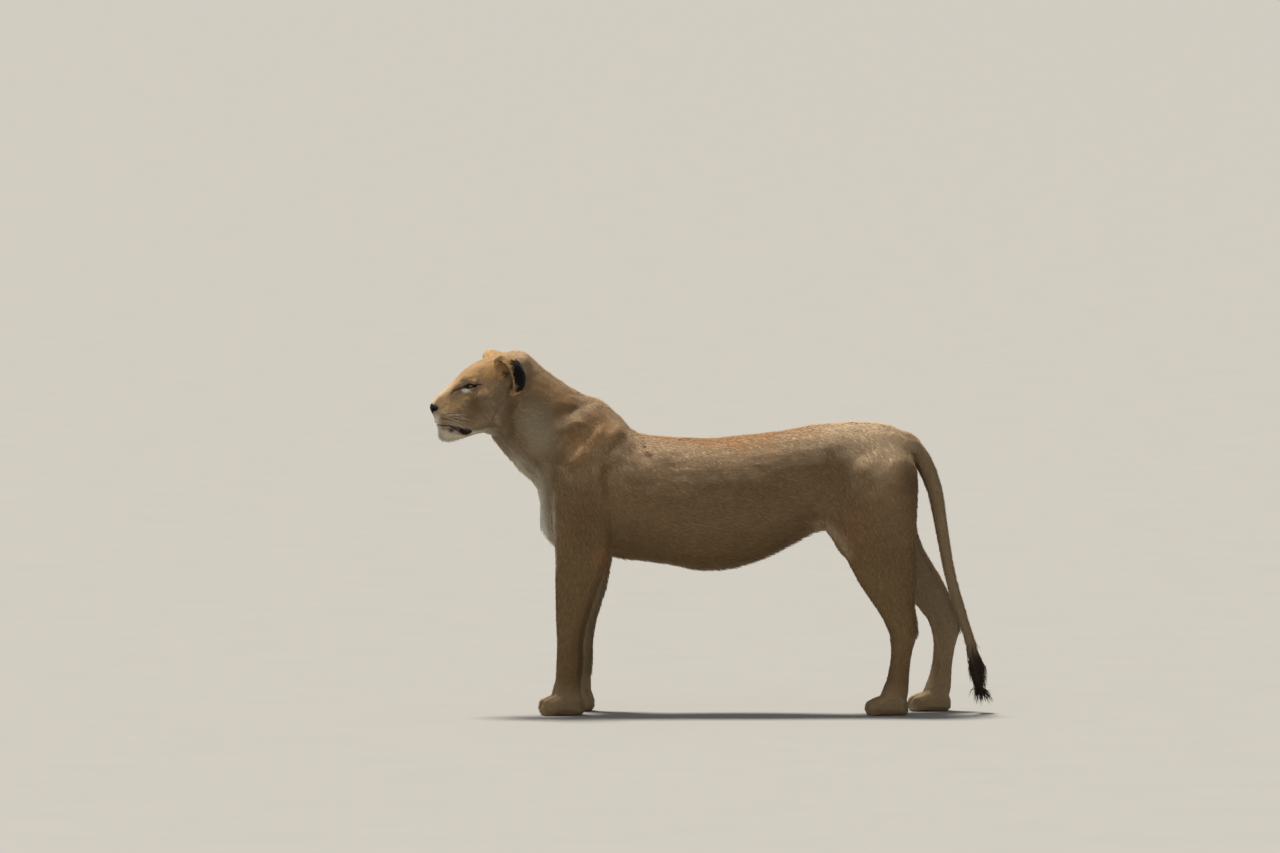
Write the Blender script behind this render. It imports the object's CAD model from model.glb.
# %% [markdown]
# # A standing lioness, life size
# The frame holds the animal as plain solids: head, neck, chest, legs, paws and tail. This lesson
# dresses it. One skin is grown over all the flesh so that no cut shows, the face is modelled on
# it, and a coat of many small tufts is laid over the skin. Eyes, lid rims, nose leather and
# whiskers are pieces of their own. Lengths are in metres, but brush strokes are in millimetres.

# %% Load the frame
import math

import bmesh
import bpy
import numpy as np
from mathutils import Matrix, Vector, noise
from mathutils.bvhtree import BVHTree


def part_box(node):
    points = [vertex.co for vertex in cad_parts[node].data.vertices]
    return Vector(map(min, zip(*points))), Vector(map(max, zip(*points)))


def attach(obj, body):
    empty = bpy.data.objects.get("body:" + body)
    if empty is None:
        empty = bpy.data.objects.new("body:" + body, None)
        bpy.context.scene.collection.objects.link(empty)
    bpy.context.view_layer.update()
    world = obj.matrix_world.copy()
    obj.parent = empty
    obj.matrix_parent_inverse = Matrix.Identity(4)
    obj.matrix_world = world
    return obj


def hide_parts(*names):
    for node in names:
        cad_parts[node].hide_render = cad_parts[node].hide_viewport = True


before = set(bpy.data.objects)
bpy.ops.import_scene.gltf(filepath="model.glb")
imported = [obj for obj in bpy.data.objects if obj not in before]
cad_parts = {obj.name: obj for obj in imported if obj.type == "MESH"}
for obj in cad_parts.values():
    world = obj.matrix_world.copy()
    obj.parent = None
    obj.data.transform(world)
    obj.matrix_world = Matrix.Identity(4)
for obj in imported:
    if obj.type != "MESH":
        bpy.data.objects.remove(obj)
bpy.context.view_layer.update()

SIDES = ("left", "right")

# %% [markdown]
# ## Camera, floor and light
# A wild animal is watched from far off through a long lens, which flattens it to a clean side
# view. So the camera stands forty metres away, a little above the animal's eyes. The floor is
# plain and pale and reaches far beyond it, as a studio's sweep would. A broad sun-like lamp high
# overhead, a little beyond the animal's back, stands for the midday light, and a weak one from
# the camera's side keeps the shaded flank readable. Sun lamps light the whole floor evenly.

# %% Camera, a long way off
DISTANCE = 40.0  # metres from the animal to the camera
VIEW_WIDTH = 3.968  # metres across the picture at the animal
RISE = math.radians(2.5)  # how far the camera looks down
view_middle = Vector((-0.2095, 0.0, 0.8895))


def new_object(name, data):
    made = bpy.data.objects.new(name, data)
    bpy.context.scene.collection.objects.link(made)
    return made


camera = new_object("camera", bpy.data.cameras.new("camera"))
bpy.context.scene.camera = camera
camera.data.sensor_width = 36.0
camera.data.lens = camera.data.sensor_width * DISTANCE / VIEW_WIDTH
camera.data.clip_end = 1000.0
back = Vector((0.0, -math.cos(RISE), math.sin(RISE)))
camera.location = view_middle + back * DISTANCE
camera.rotation_euler = (-back).to_track_quat("-Z", "Y").to_euler()
print("lens", round(camera.data.lens, 1), "mm")


# %% Materials are built from nodes, so here is a short way to add and join them
def new_material(name, **finish):
    """A material. The finish sets the shader's own sockets, with _ for each space."""
    material = bpy.data.materials.new(name)
    material.use_nodes = True
    shader = material.node_tree.nodes["Principled BSDF"]
    for socket, value in finish.items():
        shader.inputs[socket.replace("_", " ")].default_value = value
    return material, material.node_tree, shader


def add_node(tree, kind, **settings):
    node = tree.nodes.new(kind)
    for name, value in settings.items():
        if name in node.inputs:
            node.inputs[name].default_value = value
        else:
            setattr(node, name, value)
    return node


# %% Noise, mixed colours and bump, of which most of the finishes are made
def scaled_noise(tree, scale, detail, stretch=(1.0, 1.0, 1.0)):
    """A noise over the piece itself, longer along some axes than others."""
    place = add_node(tree, "ShaderNodeTexCoord")
    mapping = add_node(tree, "ShaderNodeMapping", Scale=stretch)
    cloud = add_node(tree, "ShaderNodeTexNoise", Scale=scale, Detail=detail)
    tree.links.new(place.outputs["Object"], mapping.inputs["Vector"])
    tree.links.new(mapping.outputs["Vector"], cloud.inputs["Vector"])
    return cloud.outputs["Fac"]


def coloured(tree, shader, first, second, share, blend="MIX"):
    """Two colours mixed, as the shader's colour: each a colour or another node's output."""
    mix = add_node(tree, "ShaderNodeMix", data_type="RGBA", blend_type=blend)
    for socket, value in (("A", first), ("B", second), ("Factor", share)):
        if isinstance(value, bpy.types.NodeSocket):
            tree.links.new(value, mix.inputs[socket])
        else:
            mix.inputs[socket].default_value = (*value, 1) if socket != "Factor" else value
    tree.links.new(mix.outputs["Result"], shader.inputs["Base Color"])


def bumped(tree, shader, height, distance, strength):
    bump = add_node(tree, "ShaderNodeBump", Distance=distance, Strength=strength)
    tree.links.new(height, bump.inputs["Height"])
    tree.links.new(bump.outputs["Normal"], shader.inputs["Normal"])


# %% The floor, a broad sheet of pale studio card
FLOOR_HALF = 320.0
floor = new_object("floor", bpy.data.meshes.new("floor"))
corners = [(x * FLOOR_HALF, y * FLOOR_HALF, 0) for x, y in ((-1, -1), (1, -1), (1, 1), (-1, 1))]
floor.data.from_pydata(corners, [], [(0, 1, 2, 3)])
floor_card, tree, shader = new_material("floor_card", Roughness=0.9)
coloured(tree, shader, (0.385, 0.38, 0.365), (0.41, 0.405, 0.39), scaled_noise(tree, 3.0, 3.0))
floor.data.materials.append(floor_card)
print("floor", round(2 * FLOOR_HALF), "m wide, in", floor_card.name)


# %% Lamps: a high key, a weak fill, and an even sky
def broad_lamp(name, comes_from, strength, spread, colour):
    light = bpy.data.lights.new(name, "SUN")
    light.energy = strength
    light.angle = math.radians(spread)
    light.color = colour
    lamp = new_object(name, light)
    lamp.rotation_euler = Vector(comes_from).to_track_quat("Z", "Y").to_euler()
    print("lamp", name, "of strength", strength, "spread over", spread, "degrees")


broad_lamp("key", (-0.22, 0.24, 1.0), 4.4, 12, (1.0, 0.94, 0.84))
broad_lamp("fill", (-0.5, -1.0, 0.35), 0.36, 70, (1.0, 0.98, 0.95))
sky = bpy.data.worlds.new("sky")
sky.use_nodes = True
sky.node_tree.nodes["Background"].inputs["Color"].default_value = (0.95, 0.96, 0.97, 1)
sky.node_tree.nodes["Background"].inputs["Strength"].default_value = 0.22
bpy.context.scene.world = sky
bpy.context.scene.view_settings.view_transform = "Standard"

# %% [markdown]
# ## The head's own directions
# The head is turned a little, so its features are easiest to place in its own directions:
# forward along the muzzle, left, and up, from the point midway between the eyes. They follow from
# the two eyeballs and the nose of the frame, so they stay right if the head's turn changes.


# %% Head directions from the eyes and the nose
def middle_of(node):
    low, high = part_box(node)
    return (low + high) / 2


NOSE_DROP = math.radians(31.0)  # the nose lies this far below a level line from the eyes
eye_at = {side: middle_of(f"eye_{side}") for side in SIDES}
eye_radius = (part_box("eye_left")[1].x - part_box("eye_left")[0].x) / 2
brow = (eye_at["left"] + eye_at["right"]) / 2
to_left = (eye_at["left"] - eye_at["right"]).normalized()
to_nose = (middle_of("nose") - brow).normalized()
square = to_nose.cross(to_left).normalized()
forward = (to_nose * math.cos(NOSE_DROP) + square * math.sin(NOSE_DROP)).normalized()
upward = forward.cross(to_left).normalized()
head_axes = np.array([forward, to_left, upward])
print("forward", [round(v, 3) for v in forward], "up", [round(v, 3) for v in upward])


def outwards(side):
    return to_left if side == "left" else -to_left


def in_head(places):
    """Places as (forward, left, up) from between the eyes."""
    return (places - np.array(brow)) @ head_axes.T


def folded_head(places):
    """The same with the right side laid on the left one."""
    h = in_head(places)
    h[:, 1] = np.abs(h[:, 1])
    return h


def from_head(places):
    return places @ head_axes + np.array(brow)


# %% Small helpers for shapes held as arrays of points
def ease(t):
    t = np.clip(t, 0.0, 1.0)
    return t * t * (3 - 2 * t)


def read(items, key, width, kind=np.float32):
    """One property of all vertices, edges or corners of a mesh, as an array."""
    found = np.empty(len(items) * width, kind)
    items.foreach_get(key, found)
    return found.reshape(-1, width)


def unit(vectors):
    return vectors / np.maximum(np.linalg.norm(vectors, axis=-1, keepdims=True), 1e-12)


def laid_flat(ways, normals):
    """Directions turned into the plane of the skin, one metre long."""
    return unit(ways - normals * (ways * normals).sum(axis=1)[:, None])


def normals_of(points, triangles):
    a, b, c = (points[triangles[:, k]] for k in range(3))
    across = np.cross(b - a, c - a)
    total = np.zeros_like(points)
    for k in range(3):
        for axis in range(3):
            total[:, axis] += np.bincount(triangles[:, k], across[:, axis], len(points))
    return unit(total)


# %% Evening out a surface, and a soft random value
def neighbour_mean(values, edges):
    """The mean of each point's neighbours, column by column."""
    a, b = edges.T
    total = [np.bincount(a, v[b], len(v)) + np.bincount(b, v[a], len(v)) for v in values.T]
    count = np.bincount(edges.ravel(), minlength=len(values))
    return np.column_stack(total) / np.maximum(count, 1)[:, None]


def relaxed(points, edges, passes, weight, swell=0.52):
    """Evens a surface out and, every other pass, swells it back so that it doesn't shrink."""
    for turn in range(passes * 2):
        share = 0.5 if turn % 2 == 0 else -swell
        points = points + share * weight[:, None] * (neighbour_mean(points, edges) - points)
    return points


def cloud(points, size, seed):
    """A soft random value from -1 to 1 that changes over about `size` metres."""
    shift = Vector((seed * 7.31, seed * 3.17, seed * 5.53))
    return np.array([noise.noise(Vector(p) / size + shift) for p in points])


# %% [markdown]
# ## One skin
# On the animal a single hide wraps everything. The solids of the frame are cut apart, so a skin
# drawn straight on them would show every cut. A voxel remesh fuses them instead: the solids are
# first grown by less than a millimetre so that they overlap at the cuts. The eyes join in, so that
# the sockets are filled, and raised copies of the jaw close the mouth: lids and lips come later.
# The trunk needs far fewer faces than the face, so Decimate thins it out, and a vertex group
# tells it where.

# %% Each solid of the frame, grown by a little
VOXEL = 0.0034
GROWTH = 0.0008
JAW_RAISED = (0.004, 0.008)
flesh = [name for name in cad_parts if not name.startswith("eye_")]


def baked(piece):
    """Applies the piece's modifiers."""
    bpy.context.view_layer.update()
    graph = bpy.context.evaluated_depsgraph_get()
    mesh = bpy.data.meshes.new_from_object(piece.evaluated_get(graph))
    piece.modifiers.clear()
    piece.data = mesh


def grown_solid(name, shift=(0, 0, 0)):
    solid = bmesh.new()
    solid.from_mesh(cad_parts[name].data)
    bmesh.ops.triangulate(solid, faces=solid.faces)
    solid.normal_update()
    for corner, out in [(v, v.normal.copy()) for v in solid.verts]:
        corner.co += out * GROWTH + Vector(shift)
    mesh = bpy.data.meshes.new("grown")
    solid.to_mesh(mesh)
    solid.free()
    return mesh


# %% Join the grown solids, and remesh them into one skin
shell = bmesh.new()
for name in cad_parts:
    shell.from_mesh(grown_solid(name))
for raise_by in JAW_RAISED:
    shell.from_mesh(grown_solid("jaw", upward * raise_by))
skin = new_object("skin", bpy.data.meshes.new("skin"))
shell.to_mesh(skin.data)
shell.free()
remesh = skin.modifiers.new("one_skin", "REMESH")
remesh.mode = "VOXEL"
remesh.voxel_size = VOXEL
baked(skin)
print("fused skin has", len(skin.data.polygons), "faces")

# %% Thin the body and keep the head and the paws
KEPT_SHARE = 0.235
HEAD_ABOVE, PAWS_BELOW = 0.86, 0.085  # heights; so high only head and neck reach before head_end
head_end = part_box("head")[1].x
x, _, z = read(skin.data.vertices, "co", 3).astype(float).T
kept = (x < head_end - 0.03) & (z > HEAD_ABOVE) | (z < PAWS_BELOW)
skin.vertex_groups.new(name="thinner").add(np.where(~kept)[0].tolist(), 1.0, "REPLACE")
thinner = skin.modifiers.new("thinner", "DECIMATE")
thinner.ratio = KEPT_SHARE
thinner.vertex_group = "thinner"
baked(skin)
skin.vertex_groups.clear()
print("thinned skin has", len(skin.data.polygons), "faces")

# %% [markdown]
# Lids, nostrils and lips are only a few millimetres wide, so the front of the face is divided once
# more before it is modelled. Dividing only there keeps the whole skin light.

# %% Finer faces on the front of the face
fine = bmesh.new()
fine.from_mesh(skin.data)
fine.verts.ensure_lookup_table()
ahead, _, up = in_head(np.array([v.co for v in fine.verts])).T
near_eyes = (ahead > -0.022) & (up > -0.03) & (up < 0.03)
near_mouth = (ahead > -0.012) & (up > -0.15) & (up < -0.09)
near_nose = (ahead > 0.06) & (up < -0.03)
in_face = near_eyes | near_mouth | near_nose
face_edges = [e for e in fine.edges if in_face[e.verts[0].index] and in_face[e.verts[1].index]]
bmesh.ops.subdivide_edges(fine, edges=face_edges, cuts=1, use_grid_fill=True)
bmesh.ops.triangulate(fine, faces=fine.faces)
fine.to_mesh(skin.data)
fine.free()
skin.data.calc_loop_triangles()
points = read(skin.data.vertices, "co", 3).astype(float)
edges = read(skin.data.edges, "vertices", 2, np.int32)
triangles = read(skin.data.loop_triangles, "vertices", 3, np.int32)
print("skin has", len(triangles), "triangles")

# %% Relax the facets away, gently on the head and paws
delicate = (points[:, 0] < head_end) & (points[:, 2] > HEAD_ABOVE) | (points[:, 2] < 0.075)
points = relaxed(points, edges, 14, np.where(delicate, 0.5, 1.0))
print("relaxed", len(points), "points")


# %% Two brushes: a round dab and a long stroke, both in millimetres
def dab(places, centre, reach):
    """1 at the centre, easing to 0 at the reach, which may differ along each direction."""
    away = (places - np.array(centre) / 1000) / (np.array(reach) / 1000)
    return ease(1 - np.linalg.norm(away, axis=1))


def stroke(places, path, width, fade=0.2):
    """1 on a line through a few points, easing to 0 at the width and towards both ends."""
    path = np.array(path) / 1000
    best = np.full(len(places), 1e9)
    share = np.zeros(len(places))
    for k, (a, b) in enumerate(zip(path[:-1], path[1:])):
        t = np.clip((places - a) @ (b - a) / ((b - a) @ (b - a)), 0, 1)
        away = np.linalg.norm(places - a - t[:, None] * (b - a), axis=1)
        nearer = away < best
        best[nearer] = away[nearer]
        share[nearer] = (k + t[nearer]) / (len(path) - 1)
    ends = ease(np.minimum(share, 1 - share) / fade) if fade else 1.0
    return ease(1 - best / (width / 1000)) * ends


# %% The web of loose skin between belly and thigh: evening without swelling fills the corner
web = dab(points[:, [0, 2]], (362, 556), (85, 65))
filled = relaxed(points, edges, 60, np.clip(web * 1.5, 0, 1), swell=0.0)
print("flank web filled by up to", round(np.abs(filled - points).max() * 1000, 1), "mm")
points = filled

# %% [markdown]
# Every part of the coat differs in length, colour and lie. The skin remembers which solid each
# point came from, found as the nearest face of the frame, and everything that follows asks for it.

# %% Which part of the frame each point of the skin came from
corners, faces, owner = [], [], []
for number, name in enumerate(flesh):
    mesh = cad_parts[name].data
    faces += [[len(corners) + v for v in face.vertices] for face in mesh.polygons]
    owner += [number] * len(mesh.polygons)
    corners += [v.co.copy() for v in mesh.vertices]
finder = BVHTree.FromPolygons(corners, faces)
part = np.array([owner[finder.find_nearest(Vector(p))[2]] for p in points])


def is_part(*words):
    """True for the points whose part's name has one of the words in it."""
    chosen = [number for number, name in enumerate(flesh) if any(word in name for word in words)]
    return np.isin(part, chosen)


def spread(values, passes):
    """Blurs a value held at the points over their neighbours."""
    if values.ndim == 1:
        return spread(values.astype(float)[:, None], passes)[:, 0]
    for _ in range(passes):
        values = (values + neighbour_mean(values, edges)) / 2
    return values


on_face = is_part("head", "jaw", "nose")
on_ears = is_part("ear_")
print("face", on_face.sum(), "ears", on_ears.sum(), "paws", is_part("paw").sum())

# %% The coat's depth, by which the skin lies inside the solids
DEPTHS = ((2.5, "head", "jaw", "nose"), (6, "neck"), (1, "ear_"), (2, "paw"), (14, "tail_tuft"),
          (4, "tail_end"))  # in millimetres
depth = np.full(len(points), 0.005)
for deep, *words in DEPTHS:
    depth[is_part(*words)] = deep / 1000


def pushed(points, amount):
    """The points moved out along the skin's own direction."""
    return points + normals_of(points, triangles) * amount[:, None]


depth = spread(depth, 6)
points = pushed(points, -depth)
print("coat from", round(depth.min() * 1000, 1), "to", round(depth.max() * 1000, 1), "mm deep")

# %% [markdown]
# ## Modelling the skin
# A sculptor would push and pull the skin with a few brushes. Here each stroke is a place or a
# path, a width and a height, and the points near it move along the skin's own direction. Body
# strokes are placed level and upright, face strokes in the head's directions and on both sides.

# %% Folds, hollows and bones of the body
# Each row: a path seen from the side, its half width and its height, in millimetres.
BODY_STROKES = [
    ([(-310, 905), (-360, 845), (-432, 765)], 19, 12),  # fold along the blade
    ([(-370, 922), (-435, 892), (-500, 874)], 19, 10.5),  # fold before the blade
    ([(-375, 880), (-425, 842), (-478, 835)], 13, -9.5),  # valley between them
    ([(-345, 975), (-405, 948), (-465, 930)], 15, -7),  # valley behind the neck
    ([(-395, 990), (-450, 965), (-500, 955)], 18, 3.5),
    ([(-455, 790), (-420, 735)], 18, -5),
    ([(-508, 838), (-494, 802), (-476, 772)], 9.5, -4.5),  # creases of the breast
    ([(-492, 842), (-478, 806), (-462, 780)], 9.5, 3.5),
    ([(-500, 765), (-488, 725)], 10, -3),
    ([(-280, 892), (-312, 860), (-350, 828)], 17, 6),  # rear edge of the blade
    ([(-252, 872), (-285, 832), (-318, 795)], 19, -6.5),
    ([(-318, 785), (-322, 740), (-316, 680)], 15, -7),  # behind the blade
    ([(-340, 770), (-348, 700)], 20, 3.5),
    ([(-206, 852), (-186, 812), (-152, 776)], 11, -5.5),  # crease of the ribs
    ([(-182, 855), (-162, 815), (-130, 785)], 13, 4),
    ([(-345, 560), (-325, 500), (-312, 455)], 30, 6.5),  # elbow
    ([(-300, 585), (-285, 520), (-300, 470)], 16, -6.5),  # behind the elbow
    ([(-395, 420), (-350, 400)], 14, -2),
    ([(300, 578), (345, 592), (395, 560), (432, 500)], 18, 6),  # flank fold
    ([(405, 660), (418, 600), (445, 535)], 16, -5.5),
    ([(300, 640), (345, 655), (380, 700)], 22, -3.5),
    ([(365, 862), (430, 838)], 40, 5),  # hip bone
    ([(560, 790), (600, 740)], 50, 2.5),  # seat bone
    ([(480, 760), (500, 680)], 35, -3.5),
    ([(-100, 700), (-60, 620)], 20, 1.8),
    ([(-20, 700), (20, 620)], 20, 1.8),
    ([(60, 700), (95, 620)], 20, 1.8),
]
side_view = points[:, [0, 2]]
trunk = is_part("chest", "loin", "rump", "neck", "upper", "thigh")
rise = sum(stroke(side_view, path, width, 0.25) * height for path, width, height in BODY_STROKES)
rise = rise / 1000 * trunk * (np.abs(points[:, 1]) > 0.03)
wander = cloud(points, 0.055, 1.0) * 0.0022 + cloud(points, 0.02, 2.0) * 0.0008
loose = spread(trunk, 8)
LOOSE_LINE = [(-0.2, 0.815), (-0.1, 0.75), (0.00, 0.725), (0.12, 0.755), (0.3, 0.79)]
line = np.interp(points[:, 0], *zip(*LOOSE_LINE))  # where loose skin bunches along the ribs
bunched = ease(1 - np.abs(points[:, 2] - line) / 0.055)
bunched *= ease((0.3 - np.abs(points[:, 0] - 0.04)) / 0.08)
wander += bunched * (cloud(points, 0.028, 8.0) * 0.0032 + cloud(points, 0.013, 9.0) * 0.002)
points = pushed(points, spread(rise, 2) + loose * wander)
print("body strokes move the skin by", (rise.min() * 1000).round(1), (rise.max() * 1000).round(1))


# %% Toes: three furrows over the front of each paw, with four knuckles between them
FURROWS, FURROW_DEPTH = (-0.235, 0.0, 0.235), 0.0075  # places in shares of the paw's width
KNUCKLES, KNUCKLE_HEIGHT = (-0.35, -0.12, 0.12, 0.35), 0.004


def toe_furrows(name):
    low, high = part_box(name)
    ahead = (high.x - points[:, 0]) / (high.x - low.x)
    across = (points[:, 1] - (low.y + high.y) / 2) / (high.y - low.y)
    up = (points[:, 2] - low.z) / (high.z - low.z)
    push = np.zeros(len(points))
    for place in FURROWS:
        line = place * (0.65 + 0.35 * ahead)
        push -= ease(1 - np.abs(across - line) / 0.075) * ease((ahead - 0.5) / 0.25) * FURROW_DEPTH
    for place in KNUCKLES:
        front = (ahead - 0.86 + 0.5 * place * place) / 0.22
        knuckle = front ** 2 + ((across - place) / 0.14) ** 2 + ((up - 0.42) / 0.5) ** 2
        push += ease(1 - np.sqrt(knuckle)) * KNUCKLE_HEIGHT
    return push * ease((up - 0.04) / 0.2) * (part == flesh.index(name))


toes = sum(toe_furrows(name) for name in flesh if "paw" in name)
points = pushed(points, toes)
points[:, 2] = np.maximum(points[:, 2], 0.0006)  # the soles stay above the floor
print("toes furrowed by", round(-toes.min() * 1000, 1), "mm")

# %% Muzzle, lips, cheeks and brow, the same on both sides
# Each row: a path (forward, sideways, up), its half width and its height, in millimetres.
FACE_STROKES = [
    ([(104, 26, -98), (74, 44, -102)], 25, 6.2),  # whisker pad
    ([(50, 52, -70), (36, 60, -92), (22, 66, -112)], 12, -3.5),
    ([(75, 12, -18), (35, 10, 4)], 16, 1.5),  # bridge
    ([(-2, 0, 50), (35, 0, 16)], 12, -2.5),  # furrow of the forehead
    ([(0, 62, -34), (-35, 82, -28)], 22, 3),  # cheek bone
    ([(-34, 78, -85), (-62, 84, -60)], 34, 5),  # jaw muscle
    ([(-2, 66, -56), (-12, 74, -102)], 15, -4),
    ([(88, 6, -146), (70, 20, -150)], 18, 2.5),  # chin
    ([(118, 0, -86), (110, 0, -106), (104, 0, -122)], 9, -6.2),  # cleft of the upper lip
    ([(90, 36, -138), (66, 48, -150)], 18, -6),  # sides of the chin
]
WHISKER_LINE = [(105, -94.5), (78, -96.5), (46, -97.5)]
TEAR_LINE = [(16, 0), (40, -4), (60, -13), (70, -28)]
# The same for thin lines, as (forward, up) on the sides of the face.
FACE_LINES = [
    ([(98, -85), (60, -83)], 4.5, -1),  # rows of whisker roots
    (WHISKER_LINE, 4.8, -2.6),
    ([(100, -106), (60, -108)], 4.5, -1.2),
    ([(46, -98), (22, -108)], 5, -1.8),  # cheek creases
    ([(40, -58), (10, -84)], 6.5, -1.6),
    (TEAR_LINE, 6.5, -2.2),
]


def on_side(sideways):
    """1 on the sides of the face and 0 along its middle line."""
    return ease((sideways - 0.014) / 0.008)


folded = folded_head(points)
rise = sum(stroke(folded, path, width) * height for path, width, height in FACE_STROKES)
rise += sum(stroke(folded[:, [0, 2]], path, width) * height
            for path, width, height in FACE_LINES) * on_side(folded[:, 1])
rise = rise / 1000 * on_face
points = pushed(points, rise)
print("face strokes move the skin by", (rise.min() * 1000).round(1), (rise.max() * 1000).round(1))

# %% The mouth, a little open, wide at its corner
MOUTH_FORWARD = [0.008, 0.02, 0.034, 0.052, 0.08, 0.125]
MOUTH_UP = [-0.137, -0.1385, -0.1365, -0.1275, -0.1175, -0.119]
MOUTH_HALF = [0.0045, 0.0086, 0.0086, 0.005, 0.0022, 0.0011]  # half of the gap there
MOUTH_PEAK = 0.0075  # rise of the line under the cleft of the lip


def mouth_reach(h):
    """How far above the mouth's line places in the head's directions lie, and the half gap."""
    line = np.interp(h[:, 0], MOUTH_FORWARD, MOUTH_UP)
    line += MOUTH_PEAK * ease(1 - np.abs(h[:, 1]) / 0.02) * ease((h[:, 0] - 0.07) / 0.02)
    half = np.interp(h[:, 0], MOUTH_FORWARD, MOUTH_HALF)
    half *= np.sqrt(np.clip((h[:, 0] - MOUTH_FORWARD[0] + 0.004) / 0.01, 0, 1))
    return h[:, 2] - line, half


local = in_head(points)
off_mouth, half_open = mouth_reach(local)
inside_mouth = ease((half_open - np.abs(off_mouth)) / 0.0028 + 0.5) * (half_open > 0.0004)
inside_mouth *= np.interp(local[:, 0], [0.015, 0.04, 0.09], [0.009, 0.012, 0.009])
lip_roll = ease(1 - np.abs(off_mouth - half_open - 0.004) / 0.006) * 0.0024
lip_roll += ease(1 - np.abs(off_mouth + half_open + 0.0035) / 0.005) * 0.0012
lip_roll *= ease((local[:, 0] - 0.005) / 0.02)
points = pushed(points, (lip_roll - inside_mouth) * on_face)
print("mouth opens", round(2000 * max(MOUTH_HALF), 1), "mm near its corner")

# %% [markdown]
# ## Eyes set in their lids
# A lion's eye is a ball of nearly forty millimetres, mostly hidden: the lids lie tight on it and
# leave an almond-shaped slit that slants down towards the nose. The skin is drawn over the ball
# first, then pushed in behind it where the slit is. A dark rim, a mesh of its own, follows
# the slit and hides the skin's edge, as the thick wet lid edge does on the animal.

# %% Directions of each eye
GAZE_OUT = math.radians(24.0)  # each eye looks this far outwards
GAZE_UP = math.radians(11.0)  # and this far up
SLANT = math.radians(13.0)  # the slit rises this much towards the ear
SLIT_HALF = 0.0165  # half of the slit's length
SLIT_UP, SLIT_DOWN = 0.0036, 0.0042  # how far the lids open from the slit's line
LID = 0.002  # thickness of the lids


def eye_directions(side):
    """Rows: along the slit towards the ear, up across it, and out of the eye."""
    flat = forward * math.cos(GAZE_OUT) + outwards(side) * math.sin(GAZE_OUT)
    gaze = flat * math.cos(GAZE_UP) + upward * math.sin(GAZE_UP)
    level = outwards(side) * math.cos(GAZE_OUT) - forward * math.sin(GAZE_OUT)
    above = upward * math.cos(GAZE_UP) - flat * math.sin(GAZE_UP)
    along = level * math.cos(SLANT) + above * math.sin(SLANT)
    across = above * math.cos(SLANT) - level * math.sin(SLANT)
    return np.array([along, across, gaze])


def in_eye(side, places):
    """Places in the eye's directions, from its middle."""
    return (places - np.array(eye_at[side])) @ eye_directions(side).T


def from_eye(side, places):
    return places @ eye_directions(side) + np.array(eye_at[side])


def slit_edge(share):
    """The slit's outline as (along, across) in metres, for shares 0 to 1 once round."""
    lift = np.sin(share * 2 * np.pi)
    height = np.where(lift > 0, SLIT_UP, SLIT_DOWN) * np.abs(lift) ** 1.25 * np.sign(lift)
    return np.column_stack([SLIT_HALF * np.cos(share * 2 * np.pi), height])


def slit_reach(away):
    """How far outside the slit's edge places in the eye's directions lie, below 0 inside it."""
    along, across = away[:, 0], away[:, 1]
    tallest = np.where(across > 0, SLIT_UP, SLIT_DOWN)
    room = np.clip(1 - (along / SLIT_HALF) ** 2, 0, 1) ** 0.62 * tallest
    beyond = np.maximum(np.abs(along) - SLIT_HALF, 0)
    return np.where(beyond > 0, np.hypot(beyond, across), np.abs(across) - room)


print("slit", SLIT_HALF * 2000, "mm long and", (SLIT_UP + SLIT_DOWN) * 1000, "mm open")

# %% Draw the skin over each ball and open the slit
for side in SIDES:
    away = in_eye(side, points)
    off_axis = np.hypot(away[:, 0], away[:, 1] * 1.12)
    reach = np.linalg.norm(away, axis=1)
    in_reach = (away[:, 2] > -0.004) & (reach < 0.05) & on_face
    from_slit = slit_reach(away)
    ball = eye_radius + LID + 0.0012 * ease(1 - np.abs(off_axis - 0.012) / 0.01)
    tight = ease((0.01 - from_slit) / 0.006)
    ball = ball * tight + np.maximum(ball, reach) * (1 - tight)
    weight = ease((0.027 - off_axis) / 0.013) * in_reach
    away = away + weight[:, None] * (unit(away) * ball[:, None] - away)
    opened = (from_slit < 0.0006) & in_reach & (off_axis < 0.02)
    away[opened] = unit(away[opened]) * (eye_radius - 0.004)
    points = np.where(in_reach[:, None], from_eye(side, away), points)
    print(side, "slit opens", opened.sum(), "points of the skin")

# %% The brow hangs over the eye, and a furrow runs under the lower lid
LID_STROKES = [
    ([(20, 26, 15), (10, 48, 18.5), (-12, 68, 15)], 13.5, 7.5),
    ([(32, 34, -19), (14, 56, -25), (-10, 71, -18)], 8, -1.3),
    ([(-6, 66, 6), (-26, 76, 8.5)], 5, -1.6),
]
folded = folded_head(points)
lift = sum(stroke(folded, path, width) * height / 1000 for path, width, height in LID_STROKES)
points = pushed(points, lift * on_face)
print("brow stands out", round(lift.max() * 1000, 1), "mm")

# %% Even out the skin round the lids, and keep it clear of the balls
round_eyes = np.zeros(len(points))
lids = {}
for side in SIDES:
    away = in_eye(side, points)
    off_axis, from_slit = np.hypot(away[:, 0], away[:, 1]), slit_reach(away)
    outside = (from_slit > 0.0006) & (away[:, 2] > -0.01) & on_face
    lids[side] = outside & (off_axis < 0.024) & (away[:, 2] > 0)
    soft = ease((0.044 - off_axis) / 0.012) * ease((from_slit - 0.0012) / 0.003) * outside
    round_eyes = np.maximum(round_eyes, soft)
before = points
points = relaxed(points, edges, 9, round_eyes)
for side in SIDES:
    away = points - np.array(eye_at[side])
    short = eye_radius + LID * 0.8 - np.linalg.norm(away, axis=1)
    points = points + unit(away) * (np.maximum(short, 0) * lids[side])[:, None]
print("evened by up to", round(np.abs(points - before).max() * 1000, 1), "mm")


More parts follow.
